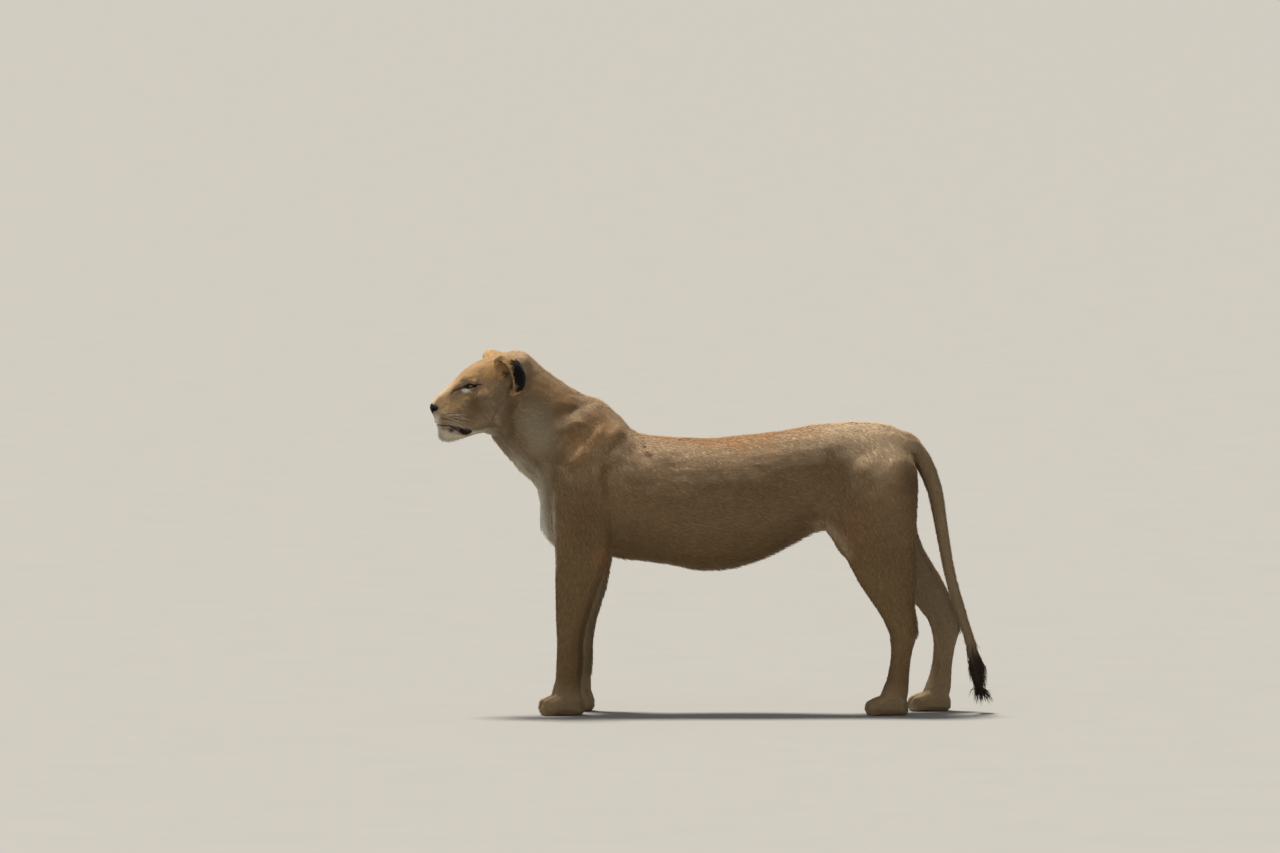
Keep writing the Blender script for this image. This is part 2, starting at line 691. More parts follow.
def write_skin():
    skin.data.vertices.foreach_set("co", points.astype(np.float32).ravel())
    skin.data.update()


write_skin()
normals = normals_of(points, triangles)
skin.data.shade_smooth()
skin_finder = BVHTree.FromPolygons([Vector(p) for p in points], triangles.tolist())


# %% A piece from arrays of points and faces
def dressed(name, mesh, material):
    """The mesh as a piece that rides on the animal."""
    mesh.materials.append(material)
    piece = new_object(name, mesh)
    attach(piece, "root")
    return piece


def new_piece(name, verts, faces, material, slot):
    mesh = bpy.data.meshes.new(name)
    mesh.from_pydata([tuple(v) for v in verts], [], [tuple(f) for f in faces])
    mesh.validate()
    mesh.shade_smooth()
    print(name, len(mesh.polygons), "faces")
    return dressed(name, mesh, material)


def tube_faces(rings, count, closed=False):
    """Quads between rings of points; closed also joins the last ring to the first."""
    faces = []
    for r in range(rings if closed else rings - 1):
        a, b = r * count, (r + 1) % rings * count
        faces += [(a + k, a + (k + 1) % count, b + (k + 1) % count, b + k) for k in range(count)]
    return faces


# %% Nose leather and the dark wet skin of lids and lips
leather, tree, shader = new_material(
    "dark_leather", Roughness=0.5, Specular_IOR_Level=0.12, Coat_Weight=0.05, Coat_Roughness=0.2)
coloured(tree, shader, (0.0035, 0.0024, 0.002), (0.01, 0.0065, 0.0055),
         scaled_noise(tree, 90.0, 3.0))
place = add_node(tree, "ShaderNodeTexCoord")
pebbles = add_node(tree, "ShaderNodeTexVoronoi", feature="F1", Scale=720.0)
tree.links.new(place.outputs["Object"], pebbles.inputs["Vector"])
bumped(tree, shader, pebbles.outputs["Distance"], 0.0006, 0.8)
print("material", leather.name)

# %% The rim of each slit
RIM_TURNS = 72
# Each pair: distance out from the slit's edge and height over the ball, in metres.
RIM_PROFILE = [(-0.0004, -0.0022), (0.0000, 0.0006), (0.0006, 0.002), (0.0016, 0.0029),
               (0.0029, 0.003), (0.004, 0.0019), (0.0034, -0.0004), (0.0014, -0.0022)]
share = np.arange(RIM_TURNS) / RIM_TURNS
ahead = slit_edge(share + 0.002) - slit_edge(share - 0.002)
out = unit(np.column_stack([ahead[:, 1], -ahead[:, 0]]))
away, height = np.array(RIM_PROFILE).T
flat = slit_edge(share)[:, None] + out[:, None] * away[:, None]
deep = np.sqrt(np.maximum((eye_radius + height) ** 2 - (flat ** 2).sum(axis=2), 1e-8))
rim = np.dstack([flat, deep]).reshape(-1, 3)
for side in SIDES:
    new_piece(f"eyelid_rim_{side}", from_eye(side, rim),
              tube_faces(RIM_TURNS, len(RIM_PROFILE), closed=True), leather, "nose_leather")

# %% [markdown]
# The ball itself has the clear bulge of the cornea in front. Its rings of colour depend only on
# the angle from the line of sight: black pupil, amber iris with fine spokes, a dark ring, then the
# brownish white. The angle is stored at each point and a colour ramp turns it into the rings.

# %% The look of the eyes
eye_look, tree, shader = new_material(
    "eye_amber", Roughness=0.25, Specular_IOR_Level=0.0, Coat_Weight=0.6, Coat_Roughness=0.03)
angle = add_node(tree, "ShaderNodeAttribute", attribute_name="off_sight")
ramp = add_node(tree, "ShaderNodeValToRGB")
RINGS = [
    (0.00, (0.004, 0.003, 0.003)), (0.115, (0.004, 0.003, 0.003)), (0.135, (0.16, 0.07, 0.015)),
    (0.2, (0.46, 0.25, 0.06)), (0.3, (0.36, 0.17, 0.035)), (0.345, (0.05, 0.022, 0.01)),
    (0.375, (0.02, 0.012, 0.009)), (0.43, (0.16, 0.11, 0.08)), (1.00, (0.1, 0.055, 0.04)),
]
while len(ramp.color_ramp.elements) < len(RINGS):
    ramp.color_ramp.elements.new(0.5)
for stop, (at, colour) in zip(ramp.color_ramp.elements, RINGS):
    stop.position = at
    stop.color = (*colour, 1)
spokes = add_node(tree, "ShaderNodeAttribute", attribute_name="round_sight")
grain = add_node(tree, "ShaderNodeTexNoise", Scale=9.0, Detail=3.0)
tree.links.new(spokes.outputs["Vector"], grain.inputs["Vector"])
tree.links.new(angle.outputs["Fac"], ramp.inputs["Fac"])
coloured(tree, shader, ramp.outputs["Color"], grain.outputs["Color"], 0.7, "MULTIPLY")
bumped(tree, shader, grain.outputs["Fac"], 0.0002, 0.3)
print("material", eye_look.name, "with", len(RINGS), "stops")


# %% Eyeballs
def store(mesh, name, kind, values):
    """Keeps a value at each point of the mesh, for the materials to read."""
    key = {"FLOAT": "value", "FLOAT_VECTOR": "vector", "FLOAT_COLOR": "color"}[kind]
    if kind == "FLOAT_COLOR":
        values = np.column_stack([values, np.ones(len(values))])
    layer = mesh.attributes.new(name, kind, "POINT")
    layer.data.foreach_set(key, np.ascontiguousarray(values, np.float32).ravel())


BALL_RINGS, BALL_COUNT = 39, 48
CORNEA = 0.0013  # how far the clear bulge stands out
off = np.repeat(np.linspace(0.0, np.pi, BALL_RINGS + 2)[1:-1], BALL_COUNT)
turn = np.tile(np.arange(BALL_COUNT) / BALL_COUNT * 2 * np.pi, BALL_RINGS)
ways = np.column_stack([np.sin(off) * np.cos(turn), np.sin(off) * np.sin(turn), np.cos(off)])
radius = eye_radius + CORNEA * ease((0.62 - off) / 0.42)
verts = np.vstack([ways * radius[:, None], [[0, 0, eye_radius + CORNEA], [0, 0, -eye_radius]]])
top, last = len(ways), (BALL_RINGS - 1) * BALL_COUNT
faces = [face[::-1] for face in tube_faces(BALL_RINGS, BALL_COUNT)]
for k in range(BALL_COUNT):
    faces += [(top, k, (k + 1) % BALL_COUNT), (top + 1, last + (k + 1) % BALL_COUNT, last + k)]
for side in SIDES:
    ball = new_piece(f"eyeball_{side}", from_eye(side, verts), faces, eye_look, "eye")
    store(ball.data, "off_sight", "FLOAT", np.append(off, [0, np.pi]) / np.pi * 1.6)
    spoke = np.column_stack([np.cos(turn), np.sin(turn), off * 0.15])
    store(ball.data, "round_sight", "FLOAT_VECTOR", np.vstack([spoke, [[1, 0, 0], [1, 0, 0.5]]]))
    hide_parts(f"eye_{side}")

# %% [markdown]
# ## Nose leather
# The leather is a pad with a straight upper edge, two comma-shaped nostrils that open to the
# sides, and a narrow foot that runs down to the cleft of the lip. It is a grid thrown onto the
# skin from a fan of directions, lifted by a millimetre, and given a rim that dives into the fur.

# %% The fan that the pad of the nose is thrown from, and the depth of its nostrils
PAD_ROWS, PAD_COLUMNS = 44, 64
PAD_UP = [-0.0905, -0.0845, -0.078, -0.071, -0.065, -0.06, -0.0565, -0.0535]  # foot to top
PAD_REACH = [4, 9, 27, 54, 62, 57, 46, 30]  # degrees to each side at those heights
PAD_HEART = 0.088  # the fan's middle, forward of the eyes
PAD_LIFT, RIM_DEPTH = 0.002, 0.0125  # the pad's front above the skin, its back under it
NOSTRIL_DEPTH = 0.008


def on_muzzle(angle, up):
    """The skin's place in a fan of level directions about the muzzle's heart, and the way."""
    way = np.array([math.cos(angle), math.sin(angle), 0.0])
    heart = np.array([PAD_HEART, 0.0, up])
    start = Vector(from_head(heart + way * 0.09))
    hit = skin_finder.ray_cast(start, Vector(-way @ head_axes), 0.12)
    return (in_head(np.array(hit[0])) if hit[0] else heart + way * 0.03), way


def nostril_depth(angle, up):
    """How far the leather sinks: a round opening, and a slit that curls outwards and up."""
    angle = abs(math.degrees(angle))
    opening = ((angle - 30) / 15) ** 2 + ((up + 0.0715) / 0.0052) ** 2
    slit_up = -0.069 + 0.006 * ((angle - 36) / 24) ** 2
    slit = ((up - slit_up) / 0.0024) ** 2 if 32 < angle < 54 else 9
    room = np.interp(up, PAD_UP, PAD_REACH) - angle - 3
    deep = ease(1.25 - opening) + 0.5 * ease(1.2 - slit)
    return NOSTRIL_DEPTH * min(deep, 1) * ease(room / 9)


# %% The pad of the nose
pad_front, pad_back = [], []
for share in np.arange(PAD_ROWS) / (PAD_ROWS - 1):
    up = PAD_UP[0] + (PAD_UP[-1] - PAD_UP[0]) * share
    reach = math.radians(np.interp(up, PAD_UP, PAD_REACH))
    for across in np.arange(PAD_COLUMNS) / (PAD_COLUMNS - 1) * 2 - 1:
        lower = up - 0.003 * across * across * share
        found, way = on_muzzle(across * reach, lower)
        edge = ease(min((1 - abs(across)) * reach / 0.16, share / 0.05, (1 - share) / 0.07))
        cleft = 0.0016 * ease(1 - abs(across * reach) / 0.09) * ease((0.62 - share) / 0.3)
        lift = 0.0002 + PAD_LIFT * edge - nostril_depth(across * reach, lower) - cleft
        pad_front.append(found + way * lift)
        pad_back.append(found - way * RIM_DEPTH)
size = len(pad_front)
grid = np.arange(size).reshape(PAD_ROWS, PAD_COLUMNS)
front = np.dstack([grid[:-1, :-1], grid[:-1, 1:], grid[1:, 1:], grid[1:, :-1]]).reshape(-1, 4)
loop = [*grid[0], *grid[1:, -1], *grid[-1, -2::-1], *grid[-2:0:-1, 0]]
border = [(a, a + size, b + size, b) for a, b in zip(loop, loop[1:] + loop[:1])]
faces = [*front.tolist(), *(front[:, ::-1] + size).tolist(), *np.array(border).tolist()]
nose = new_piece("nose_leather", from_head(np.array(pad_front + pad_back)), faces, leather,
                 "nose_leather")
even = bmesh.new()
even.from_mesh(nose.data)
bmesh.ops.recalc_face_normals(even, faces=even.faces)
even.to_mesh(nose.data)
even.free()
print("nose leather", [round(v * 1000) for v in nose.dimensions], "mm")

# %% The skin under the leather steps back, so that the nostrils stay open
ahead, sideways, up = in_head(points).T
angle = np.degrees(np.arctan2(np.abs(sideways), ahead - PAD_HEART))
covered = (angle < np.interp(up, PAD_UP, PAD_REACH, left=0, right=0) - 1) & (ahead > PAD_HEART)
covered &= (up > PAD_UP[0] + 0.004) & (up < PAD_UP[-1] - 0.003) & on_face
points = points - normals * covered[:, None] * 0.0115
normals = normals_of(points, triangles)
write_skin()
print("under the leather", covered.sum(), "points")

# %% [markdown]
# ## The colours of the coat
# The coat isn't one colour: rusty along the spine, tawny on the back, greyer on the flanks, pale
# under the body and on throat and chin, almost white round the eyes, and black on the backs
# of the ears. One function gives the colour at any place of the skin, and both the skin and
# the tufts ask it, so that both carry the same markings.

# %% Named colours, and how they are laid over each other
BACK = (0.62, 0.43, 0.262)
RUST = (0.46, 0.235, 0.098)
FLANK = (0.272, 0.176, 0.088)
SAND = (0.54, 0.4, 0.245)
CREAM = (0.64, 0.55, 0.41)
WHITE = (0.84, 0.79, 0.68)
OCHRE = (0.62, 0.365, 0.145)
BROWN = (0.145, 0.078, 0.036)
DARK = (0.03, 0.019, 0.013)
BLACK = (0.006, 0.005, 0.0045)
EAR_GAZE = math.radians(24)  # the cups of the ears face this far outwards
EAR_REACH = 0.12  # everything of an ear is nearer to its middle than this


def painted(colours, *coats):
    """Colours with coats of paint over them, each a mask from 0 to 1 and a colour."""
    for mask, colour in coats:
        mask = np.clip(mask, 0, 1)[:, None]
        colours = colours * (1 - mask) + np.array(colour) * mask
    return colours


def ear_frame(side):
    """The middle of the ear's opening and the way it faces."""
    facing = forward * math.cos(EAR_GAZE) + outwards(side) * math.sin(EAR_GAZE)
    return np.array(middle_of(f"ear_{side}")), np.array(facing.normalized())


print("ears at", [ear_frame(side)[0].round(3).tolist() for side in SIDES])


# %% The body's colours
def body_colour(p, n):
    """Colour of the body at places p, where the skin faces n."""
    (x, y, z), (nx, ny, nz) = p.T, n.T
    seen = p[:, [0, 2]]
    soft = cloud(p, 0.16, 3.0) * 0.5 + cloud(p, 0.045, 4.0) * 0.3
    croup = dab(seen, (460, 860), (340, 150)) * ease((nz + soft * 0.4) / 0.4)
    spine = ease((0.1 - np.abs(y) + soft * 0.07) / 0.07) * ease((nz - 0.2) / 0.4)
    saddle = ease((x + 0.26 + soft * 0.12) / 0.2) * ease((0.47 - x + soft * 0.16) / 0.28)
    belly = ease((-nz - 0.72 + soft * 0.1) / 0.25) * (z > 0.35)
    edge_below = ease((-nz - 0.15) / 0.4) * ease((nz + 0.8) / 0.2)
    edge_below *= (np.abs(x) < 0.34) * (z > 0.4)
    inner = ease(-ny * np.sign(y) * 1.6 - 0.1) * ease((0.6 - z) / 0.1)
    neck = stroke(seen, [(-590, 1000), (-530, 880), (-495, 770)], 100, 0.35)
    breast = stroke(seen, [(-498, 800), (-505, 730), (-500, 640)], 40)
    nape = stroke(seen, [(-560, 1050), (-490, 1005), (-400, 955)], 50)
    throat = ease((-nz * 0.7 - nx * 0.7 - 0.42) / 0.4) * ease((-0.42 - x) / 0.06) * (z > 0.45)
    chest = dab(p, (-525, 0, 600), (90, 100, 180)) * ease((-nx - 0.7) / 0.2)
    fold = stroke(seen, [(315, 585), (365, 590), (410, 545), (445, 470)], 32, 0.15)
    blade = stroke(seen, [(-290, 930), (-370, 870), (-450, 800)], 85) * (z > 0.74)
    groove = stroke(seen, [(-318, 790), (-322, 740), (-316, 660)], 20)
    groove = np.maximum(groove, stroke(seen, [(-205, 850), (-190, 815), (-168, 775)], 8, 0.25))
    spots = ease((cloud(p, 0.021, 5.0) - 0.36) / 0.16) * ease((0.62 - z) / 0.2)
    colours = painted(
        np.tile(np.array(FLANK), (len(p), 1)),
        (ease((nz - 0.05 + soft * 0.25) / 0.6), BACK),
        (croup * 1.4, (0.73, 0.535, 0.335)),
        (spine * saddle * 0.85, RUST),
        (belly * 0.6, SAND),
        (edge_below * 0.5, (0.15, 0.098, 0.05)),
        (ease((0.62 - z) / 0.14) * 0.85, (0.225, 0.142, 0.064)),  # legs
        (dab(seen, (-385, 610), (105, 150)) * 0.78, (0.2, 0.118, 0.052)),  # upper arm
        (inner * 0.6, (0.44, 0.335, 0.205)),
        (ease((0.11 - z) / 0.07) * 0.6, (0.46, 0.33, 0.19)),  # feet
        (neck * 0.85, (0.455, 0.37, 0.25)),
        (breast * 0.8, (0.44, 0.335, 0.21)),
        (nape * 0.55, (0.5, 0.29, 0.125)),
        (throat, CREAM),
        (chest * 1.6, (0.93, 0.88, 0.76)),
        (dab(seen, (625, 735), (75, 130)) * 0.91, (0.205, 0.128, 0.062)),  # seat
        (dab(seen, (445, 575), (100, 130)) * 0.5, (0.3, 0.155, 0.068)),  # thigh
        (dab(seen, (-325, 485), (45, 75)) * 0.6, (0.33, 0.165, 0.075)),  # elbow
        (fold * 0.55, SAND),
        (blade * 0.8, (0.52, 0.305, 0.145)),
        (groove * 0.7 * (np.abs(ny) > 0.3), (0.165, 0.083, 0.036)),
        (spots * 0.22, (0.22, 0.125, 0.06)),
        *((dab(seen, at, (size, size)) * 0.8, BROWN) for *at, size in (
            (-284, 565.5, 9), (-228, 565.5, 8), (318, 572, 12), (-262, 545, 7))),
    )
    return colours * (1 + soft * 0.24)[:, None]


# %% The head's colours
WHISKER_ROWS = [((100, -83), (58, -80)), ((102, -92), (56, -90)), ((102, -101), (54, -100)),
                ((100, -110), (56, -109))]
DOTS_IN_ROW = 7


def head_colour(p, n, colours):
    """Colours of the head laid over the body's, by how far forward a place lies."""
    h, side = in_head(p), folded_head(p)
    facing = n @ head_axes.T
    f, l, u = side.T
    soft = cloud(p, 0.03, 6.0) * 0.5 + cloud(p, 0.01, 7.0) * 0.35
    on_head = ease((f + 0.16) / 0.1) * (p[:, 2] > 0.8)
    sides, beside = side[:, [0, 2]], on_side(l)
    under_jaw = ease((-0.128 + 0.02 * ease(-f / 0.1) - u) / 0.012) * ease((f + 0.09) / 0.06)
    foremost = ease((facing[:, 0] - 0.62 + soft * 0.12) / 0.36)
    foremost *= ease((f - 0.09) / 0.026) * ease((-0.074 - u) / 0.03)
    lip_back = stroke(side, [(82, 40, -126), (52, 50, -139), (16, 60, -150)], 12, 0.15)
    behind = stroke(side, [(-56, 85, -20), (-64, 85, -75), (-72, 75, -125)], 14)
    tear = stroke(sides, TEAR_LINE, 5.8, 0.0) * beside * ease((0.078 - f) / 0.03)
    behind_eye = stroke(side, [(4, 58, 8), (-10, 67, 11), (-28, 76, 7)], 5.5, 0.15)
    base = painted(
        np.tile(np.array((0.275, 0.196, 0.118)), (len(p), 1)),
        (ease((facing[:, 2] - 0.15 + soft * 0.3) / 0.5), (0.53, 0.325, 0.155)),  # top
        (dab(side, (70, 0, -30), (90, 40, 60)) * 1.6, (0.66, 0.51, 0.335)),  # bridge
        (dab(side, (-5, 55, 36), (35, 35, 20)) * 0.9, (0.52, 0.315, 0.115)),  # brows
        (dab(side, (-58, 78, 50), (45, 50, 45)) * 1.3, OCHRE),  # before the ear
        (dab(side, (85, 35, -95), (50, 45, 42)) * 1.05, (0.385, 0.29, 0.19)),  # whisker pad
        (under_jaw, CREAM),
        (dab(side, (90, 0, -145), (55, 50, 35)) * 1.8, (0.42, 0.38, 0.305)),  # chin
        (dab(side, (112, 0, -140), (20, 40, 35)) * 1.4, WHITE),  # its front
        (dab(side, (115, 12, -107), (20, 30, 16)) * 1.3, CREAM),  # edge of the lip
        (foremost * 0.85, WHITE),
        (dab(side, (106, 0, -50), (26, 30, 18)) * 1.3, (0.82, 0.72, 0.55)),  # over the nose
        (dab(sides, (-101, -25), (13, 22)) * beside * 0.6, (0.12, 0.07, 0.035)),  # under the ear
        (dab(side, (-6, 75, -52), (56, 50, 54)) * 1.02, (0.165, 0.098, 0.042)),  # cheek
        (dab(side, (18, 70, -94), (34, 40, 22)) * 0.845, (0.19, 0.115, 0.055)),  # mouth's corner
        (lip_back * 0.75, (0.15, 0.105, 0.08)),
        (dab(sides, (69, -132.5), (15, 13)) * 1.19 * beside, (0.06, 0.042, 0.032)),  # lower lip
        (stroke(sides, WHISKER_LINE, 4.2, 0.15) * beside * 0.85, (0.09, 0.052, 0.028)),
        (behind * 0.6, (0.5, 0.42, 0.28)),
        (dab(sides, (25, -9), (15, 12.5)) * 1.8 * beside, WHITE),  # under the eye
        (stroke(side, [(22, 50, -14), (2, 63, -12)], 9, 0.3) * 0.7, CREAM),
        (stroke(side, [(22, 34, 13), (4, 56, 19)], 8, 0.3) * 0.5, SAND),  # over the eye
        (tear * 1.1, (0.07, 0.04, 0.023)),
        (behind_eye * 1.2, (0.05, 0.03, 0.019)),
        *((dab(h[:, [0, 2]], np.array(start) * (1 - t) + np.array(end) * t, (3, 2.2))
           * (l > 0.015) * 0.85, BROWN)
          for start, end in WHISKER_ROWS for t in np.linspace(0, 1, DOTS_IN_ROW)),
    )
    return colours * (1 - on_head)[:, None] + base * (1 + soft * 0.15)[:, None] * on_head[:, None]


# %% Ears, lips, lids, tail and all together
def ear_colour(p, n, colours, on_ear):
    for side in SIDES:
        centre, facing = ear_frame(side)
        away = p - centre
        here = on_ear * (np.linalg.norm(away, axis=1) < EAR_REACH)
        front, deep = n @ facing, away @ facing
        lateral = unit(np.array(outwards(side)) - facing * (np.array(outwards(side)) @ facing))
        from_middle = np.abs(away @ np.array(upward) / 0.053) ** 3
        from_middle += np.abs((away @ lateral - 0.012) / 0.048) ** 3
        patch = ease((1.02 + cloud(p, 0.012, 12.0) * 0.12 - from_middle ** (1 / 3)) / 0.16)
        from_axis = unit(away - deep[:, None] * facing)
        outer = np.maximum(ease(((n * from_axis).sum(axis=1) + 0.1) / 0.25), ease(-front / 0.2))
        black = outer * ease((0.88 - front) / 0.2) * patch * ease((0.021 - deep) / 0.008)
        cup = (1 - outer) * ease((0.012 - deep) / 0.02)
        colours = painted(colours, (here, (0.6, 0.365, 0.155)), (here * black, BLACK),
                          (here * cup * 0.85, BROWN))
    return colours


def lip_mask(p):
    """1 on the dark edge of the lips."""
    h = in_head(p)
    off, half = mouth_reach(h)
    dark_edge = np.interp(h[:, 0], [0.03, 0.06, 0.09], [0.0038, 0.0022, 0.0004])
    near = ease((half + dark_edge - np.abs(off)) / (dark_edge * 0.7 + 0.0006))
    return near * ease((h[:, 0] - 0.002) / 0.006) * (h[:, 0] < 0.125) * (p[:, 2] > 0.85)


def lid_mask(side, p):
    """1 on the dark band round the lids."""
    away = in_eye(side, p)
    band = np.where(away[:, 1] > 0, 0.0072, 0.0046)
    near = ease((band - slit_reach(away)) / 0.0026)
    return near * (away[:, 2] > 0) * (np.hypot(away[:, 0], away[:, 1]) < 0.024)


def coat_colour(p, n, on_ear, on_tail, on_tip):
    ruff = stroke(p[:, [0, 2]], [(-606, 985), (-616, 930), (-606, 850)], 24)
    cleft = stroke(folded_head(p), [(116, 0, -86), (107, 0, -106), (100, 0, -116)], 7.5, 0)
    colours = painted(
        head_colour(p, n, body_colour(p, n)),
        (ruff * 0.75 * (np.abs(n[:, 1]) > 0.4), (0.19, 0.115, 0.055)),
        (on_tail * 0.8, (0.37, 0.27, 0.16)), (on_tip, (0.05, 0.03, 0.02)))
    colours = painted(ear_colour(p, n, colours, on_ear), (lip_mask(p), DARK), (cleft * 1.2, DARK),
                      *((lid_mask(side, p), DARK) for side in SIDES))
    return np.clip(colours, 0.004, 0.95)


soft_ear = spread(on_ears, 1)
soft_tail = spread(is_part("tail_"), 4)
soft_tip = np.clip(spread(is_part("tail_tuft"), 6) * 1.6, 0, 1)
skin_colour = coat_colour(points, normals, soft_ear, soft_tail, soft_tip)
print("mean colour", skin_colour.mean(axis=0).round(3))

# %% The skin's material: its colours, and fine hair as bump
LONG, FINE = 45.0, 420.0  # scales of the noise along and across the hairs
coat_look, tree, shader = new_material(
    "coat_short", Roughness=0.72, Specular_IOR_Level=0.18, Sheen_Weight=0.1, Sheen_Roughness=0.4)
hairs = add_node(tree, "ShaderNodeMix", data_type="FLOAT")
tree.links.new(add_node(tree, "ShaderNodeAttribute", attribute_name="hangs").outputs["Fac"],
               hairs.inputs["Factor"])
tree.links.new(scaled_noise(tree, 1.0, 3.0, (LONG, FINE, FINE)), hairs.inputs["A"])
tree.links.new(scaled_noise(tree, 1.0, 3.0, (FINE, FINE, LONG)), hairs.inputs["B"])
grey = add_node(tree, "ShaderNodeMapRange",
                **{"From Min": 0.25, "From Max": 0.75, "To Min": 0.78, "To Max": 1.18})
tree.links.new(hairs.outputs["Result"], grey.inputs["Value"])
tone = add_node(tree, "ShaderNodeAttribute", attribute_name="coat_colour")
coloured(tree, shader, tone.outputs["Color"], grey.outputs["Result"], 1.0, "MULTIPLY")
bumped(tree, shader, hairs.outputs["Result"], 0.0012, 0.7)
store(skin.data, "coat_colour", "FLOAT_COLOR", skin_colour)
store(skin.data, "hangs", "FLOAT",
      spread(is_part("leg", "tail", "upper", "lower", "thigh", "shank", "foot"), 10))
skin.data.materials.clear()
skin.data.materials.append(coat_look)
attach(skin, "root")
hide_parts(*flesh)
print("skin", len(skin.data.polygons), "triangles")

# %% [markdown]
# ## The lie of the coat
# Fur grows away from the nose, back over the trunk, down the legs and forward over the toes.
# Each part of the skin is given its own direction, the directions are blurred into each other over
# the skin, and each is then laid flat on it. Length, width, number and lift of the tufts follow
# the same way: longest on neck, belly and tail, smallest on the face and feet.

# %% Directions and measures of the coat, part by part
# Words in a part's name, then its lie (back, sideways, up) and its tufts: number per square metre,
# length and width in metres, lift from the skin in degrees.
COAT = [
    (("neck",), (0.84, 0.0, -0.55), 112000, 0.0135, 0.0017, 11),
    (("chest",), (0.88, 0.0, -0.45), 82000, 0.0135, 0.0021, 12),
    (("loin",), (0.97, 0.0, -0.25), 82000, 0.0135, 0.0021, 12),
    (("rump",), (0.85, 0.0, -0.5), 82000, 0.0135, 0.0021, 12),
    (("foreleg", "upper"), (0.3, 0.0, -0.95), 72000, 0.012, 0.0021, 12),
    (("foreleg", "lower"), (0.05, 0.0, -1.00), 78000, 0.01, 0.0019, 12),
    (("thigh",), (0.45, 0.0, -0.9), 78000, 0.013, 0.0021, 12),
    (("shank",), (0.35, 0.0, -0.95), 76000, 0.011, 0.002, 12),
    (("foot",), (0.05, 0.0, -1.00), 70000, 0.009, 0.0019, 14),
    (("paw",), (-0.8, 0.0, -0.5), 110000, 0.006, 0.0014, 14),
    (("tail_root",), (0.6, 0.0, -0.8), 60000, 0.014, 0.0024, 15),
    (("tail_middle",), (0.15, 0.0, -1.00), 70000, 0.012, 0.0021, 15),
    (("tail_end",), (0.15, 0.0, -1.00), 75000, 0.013, 0.0021, 17),
    (("tail_tuft",), (0.12, 0.0, -1.00), 60000, 0.03, 0.0028, 22),
    (("ear_left",), (0.15, -0.25, 0.95), 120000, 0.007, 0.0013, 16),
    (("ear_right",), (0.15, 0.25, 0.95), 120000, 0.007, 0.0013, 16),
    (("head",), (1.0, 0.0, 0.0), 110000, 0.008, 0.0016, 12),
    (("jaw",), (1.0, 0.0, 0.0), 110000, 0.008, 0.0016, 14),
    (("nose",), (1.0, 0.0, 0.0), 110000, 0.004, 0.001, 12),
]
print("coat rows", len(COAT))

# %% Comb the skin: the directions of the parts, blurred into each other
comb = np.zeros((len(points), 3))
measures = np.zeros((len(points), 4))
for words, way, *sizes in COAT:
    chosen = np.all([is_part(word) for word in words], axis=0)
    comb[chosen] = way
    measures[chosen] = sizes
nose_tip = np.array(middle_of("nose") + forward * 0.01)
comb[on_face] = (unit(points - nose_tip) + np.array([0.25, 0.0, -0.12]))[on_face]
front_down = ease((-normals[:, 0] - 0.25) / 0.5) * is_part("neck", "chest", "upper")
comb += front_down[:, None] * (np.array([0.25, 0.0, -1.0]) - comb)
comb = spread(comb, 24)
print("combed", len(comb), "points")

# %% Round the eyes the tufts lie away from the slit
round_lids = np.zeros(len(points))
for side in SIDES:
    away = in_eye(side, points)
    near = ease((0.032 - np.hypot(away[:, 0], away[:, 1])) / 0.012)
    near *= (away[:, 2] > -0.004) * on_face
    outward = unit(np.column_stack([away[:, 0], away[:, 1] * 2.5]) @ eye_directions(side)[:2])
    comb += near[:, None] * 0.7 * (outward - comb)
    round_lids = np.maximum(round_lids, near)
comb = laid_flat(comb, normals)

# %% The tufts of the face get smaller and closer towards the nose
FACE_AHEAD = (-0.12, -0.01, 0.055, 0.115)
FACE_SIZES = ((120000, 160000, 230000, 380000), (0.01, 0.0072, 0.0046, 0.003),
              (0.0016, 0.0013, 0.001, 0.0008))  # number, length and width at those places
for column, sizes in enumerate(FACE_SIZES):
    by_place = np.interp(in_head(points)[:, 0], FACE_AHEAD, sizes)
    measures[on_face, column] = by_place[on_face]
measures = spread(measures, 5)
measures[:, 1] *= 1 - 0.4 * round_lids
shortest, longest = (1000 * measures[:, 1].min()).round(1), (1000 * measures[:, 1].max()).round(1)
print("tufts from", shortest, "to", longest, "mm long")

# %% Where no fur grows
ahead = in_head(points)[:, 0]
off_mouth, half_open = mouth_reach(in_head(points))
in_mouth = (np.abs(off_mouth) < half_open + 0.001) & (ahead > 0.008) & (ahead < 0.125) & on_face
soles = (points[:, 2] < 0.006) & (normals[:, 2] < -0.5)
bare = (covered | in_mouth | soles).astype(float)
for side in SIDES:
    away = in_eye(side, points)
    bare[(slit_reach(away) < 0.0036) & (away[:, 2] > 0) & (np.linalg.norm(away, axis=1) < 0.03)] = 1
    centre, facing = ear_frame(side)
    cup = on_ears & (np.linalg.norm(points - centre, axis=1) < EAR_REACH)
    bare[cup & (normals @ facing > 0.35)] = 0.75
print("bare points", (bare > 0.9).sum())

# %% [markdown]
# ## A map of the skin for the finishes
# When the colours are baked into pictures, each tuft must find its own small patch. The skin is
# unwrapped once, and every tuft takes the place of its root on that unwrap, so that neighbouring
# tufts stay neighbours and the markings stay whole.

